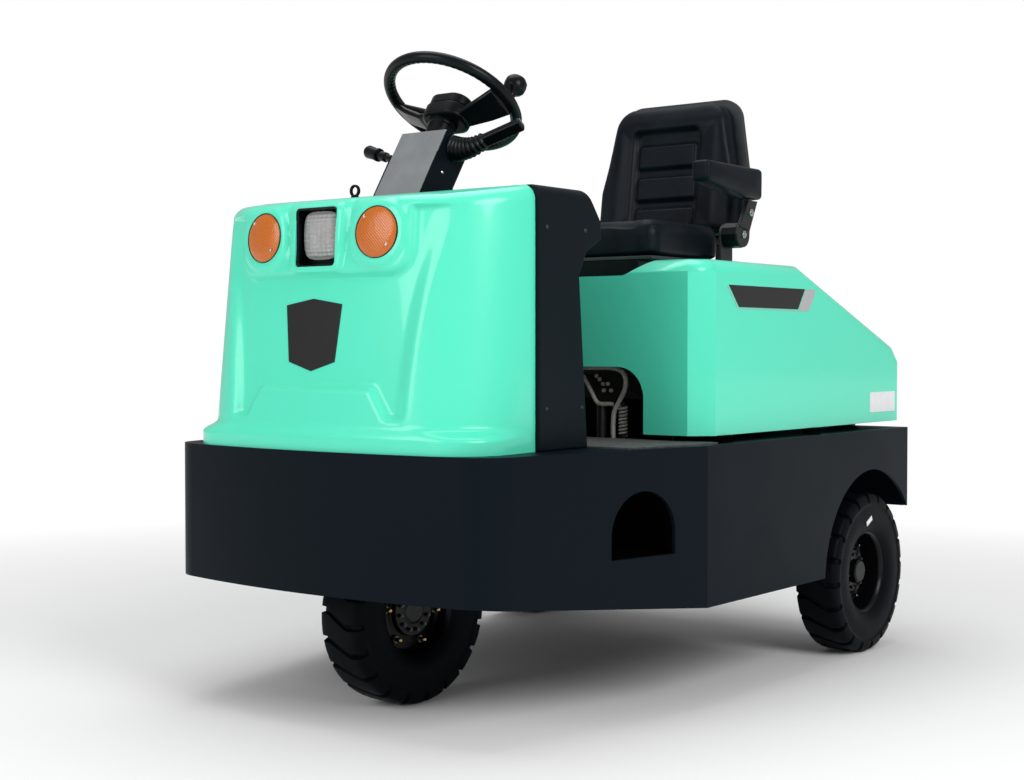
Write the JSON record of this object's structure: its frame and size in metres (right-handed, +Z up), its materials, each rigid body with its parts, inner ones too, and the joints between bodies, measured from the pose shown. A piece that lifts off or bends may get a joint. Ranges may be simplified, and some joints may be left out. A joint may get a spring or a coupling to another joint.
{
  "type": "airport baggage tug",
  "caption": "Electric tow tractor with a single steered front wheel, upright cowl, open footwell, sprung seat on a tilting battery hood, armrest and rear jaw hitch.",
  "frame": {"origin": "on the ground at the bottom centre of the bounding box", "axes": "+X towards the vehicle's left, +Y towards its rear, +Z up; the vehicle faces -Y"},
  "size_m": [1.16, 1.8109, 1.4736],
  "materials": {
    "green_paint": "gloss mint green",
    "chassis_paint": "dark blue-grey",
    "black_plastic": "satin black",
    "grey_shell": "grey",
    "seat_vinyl": "black vinyl",
    "tyre": "black rubber",
    "rubber_mat": "grey ribbed rubber",
    "rim_paint": "dark grey",
    "dark_metal": "dark grey",
    "steel": "plated",
    "battery_case": "dark grey",
    "amber_lens": "amber",
    "red_lens": "red",
    "lamp_glass": "clear ribbed"
  },
  "bodies": {
    "chassis": {"axle_brackets": "chassis_paint", "battery": "battery_case", "battery_tray": "chassis_paint", "brake_quadrant": "steel", "brake_spring": "steel", "column_collar": "black_plastic", "column_cover": "black_plastic", "cross_members": "chassis_paint", "dash_panel": "black_plastic", "deck_plate": "chassis_paint", "direction_lever": "black_plastic", "drive_motor": "dark_metal", "floor_mat": "rubber_mat", "frame_rails": "chassis_paint", "front_cowl": "green_paint", "headlamp_bezel": "black_plastic", "headlamp_lens": "lamp_glass", "hood_buffers": "rubber_mat", "hood_hinges": "dark_metal", "indicator_left": "amber_lens", "indicator_right": "amber_lens", "pedals": "rubber_mat", "pull_ring": "steel", "rear_axle": "dark_metal", "rear_plate": "chassis_paint", "skirt_front": "chassis_paint", "skirt_left": "chassis_paint", "skirt_right": "chassis_paint", "steering_bearing": "dark_metal", "step_pockets": "chassis_paint", "tail_lamps": "red_lens", "tow_hitch": "chassis_paint", "tow_pin": "steel", "turn_stalk": "black_plastic"},
    "hood": {"rear_hood": "green_paint", "hood_hinge_leaves": "dark_metal", "seat_base": "black_plastic", "seat_pan": "grey_shell", "seat_cushion": "seat_vinyl", "backrest_pad": "seat_vinyl", "backrest_shell": "grey_shell", "armrest_bracket": "dark_metal"},
    "armrest": {"armrest_arm": "dark_metal", "armrest_pad": "seat_vinyl"},
    "steering_fork": {"steer_fork": "chassis_paint"},
    "front_wheel": {"front_rim": "rim_paint", "front_tyre": "tyre"},
    "rear_wheel_left": {"rear_left_rim": "rim_paint", "rear_left_tyre": "tyre"},
    "rear_wheel_right": {"rear_right_rim": "rim_paint", "rear_right_tyre": "tyre"},
    "steering_wheel": {"steering_wheel": "black_plastic"}
  },
  "joints": [
    {"name": "steer", "type": "hinge", "parent": "chassis", "child": "steering_fork", "pos_m": [0, -0.5855, 0.2], "axis": [0, 0, 1], "range_deg": [-71, 79]},
    {"name": "front_wheel_spin", "type": "hinge", "parent": "steering_fork", "child": "front_wheel", "pos_m": [0, -0.5855, 0.2075], "axis": [0.9976, -0.0698, 0], "continuous": true},
    {"name": "rear_left_wheel_spin", "type": "hinge", "parent": "chassis", "child": "rear_wheel_left", "pos_m": [0.518, 0.5905, 0.2075], "axis": [1, 0, 0], "continuous": true},
    {"name": "rear_right_wheel_spin", "type": "hinge", "parent": "chassis", "child": "rear_wheel_right", "pos_m": [-0.518, 0.5905, 0.2075], "axis": [1, 0, 0], "continuous": true},
    {"name": "steering_wheel_turn", "type": "hinge", "parent": "chassis", "child": "steering_wheel", "pos_m": [0, -0.4155, 1.355], "axis": [0, 0.5446, 0.8387], "range_deg": [-284, 316]},
    {"name": "hood_tilt", "type": "hinge", "parent": "chassis", "child": "hood", "pos_m": [0, 0.8205, 0.584], "axis": [-1, 0, 0], "range_deg": [0, 60]},
    {"name": "armrest_fold", "type": "hinge", "parent": "hood", "child": "armrest", "pos_m": [0.27, 0.4125, 1.085], "axis": [-1, 0, 0], "range_deg": [0, 90]}
  ],
  "couplings": [
    {"joint": "steering_wheel_turn", "follows": "steer", "ratio": 4}
  ]
}
